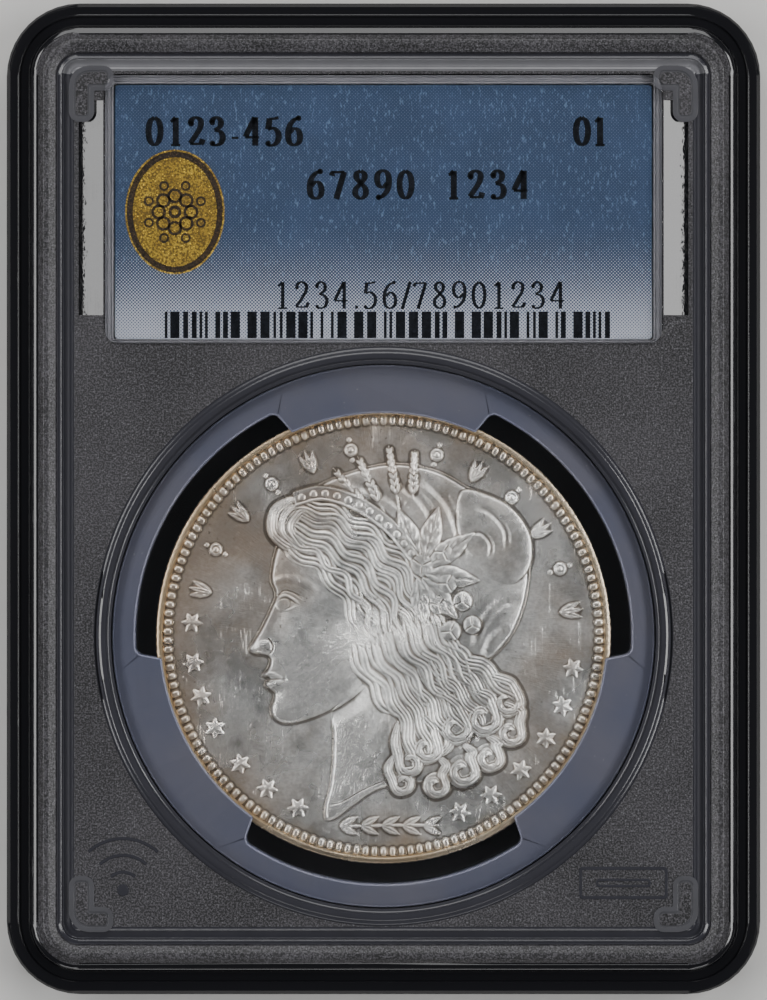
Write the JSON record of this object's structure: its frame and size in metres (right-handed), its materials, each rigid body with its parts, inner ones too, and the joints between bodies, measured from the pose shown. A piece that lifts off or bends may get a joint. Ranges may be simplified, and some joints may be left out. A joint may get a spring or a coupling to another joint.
{
  "type": "graded coin slab",
  "caption": "Sealed clear plastic display case with a silver coin held by a soft ring under a printed label card.",
  "frame": {"origin": "middle of the case's outline, in the plane of its back face", "axes": "+Z out of the front face, +Y towards the label, +X to the right as the front is read"},
  "size_m": [0.0628, 0.0826, 0.0076],
  "materials": {
    "front_plastic": "clear plastic, frosted outside the two windows",
    "rear_plastic": "clear plastic, frosted outside the two windows",
    "soft_ring": "matt slate-blue soft plastic",
    "coin_silver": "struck silver with light brown and gold toning",
    "label_card": "printed card, blue fading to pale grey",
    "rear_card": "printed card, pale grey",
    "gold_foil": "grained gold foil",
    "clear_film": "thin amber film",
    "etched_foil": "bright etched foil",
    "chip_black": "bare black chip"
  },
  "bodies": {
    "case": {"front_shell": "front_plastic", "rear_shell": "rear_plastic", "coin_ring": "soft_ring", "front_label": "label_card", "rear_label": "rear_card", "foil_seal": "gold_foil", "tag_film": "clear_film", "tag_antenna": "etched_foil", "tag_bridge": "etched_foil", "tag_chip": "chip_black"},
    "coin": {"coin": "coin_silver"}
  },
  "joints": [
    {"name": "coin_turn", "type": "hinge", "parent": "case", "child": "coin", "pos_m": [0, -0.01145, 0.00345], "axis": [0, 0, 1], "continuous": true}
  ]
}
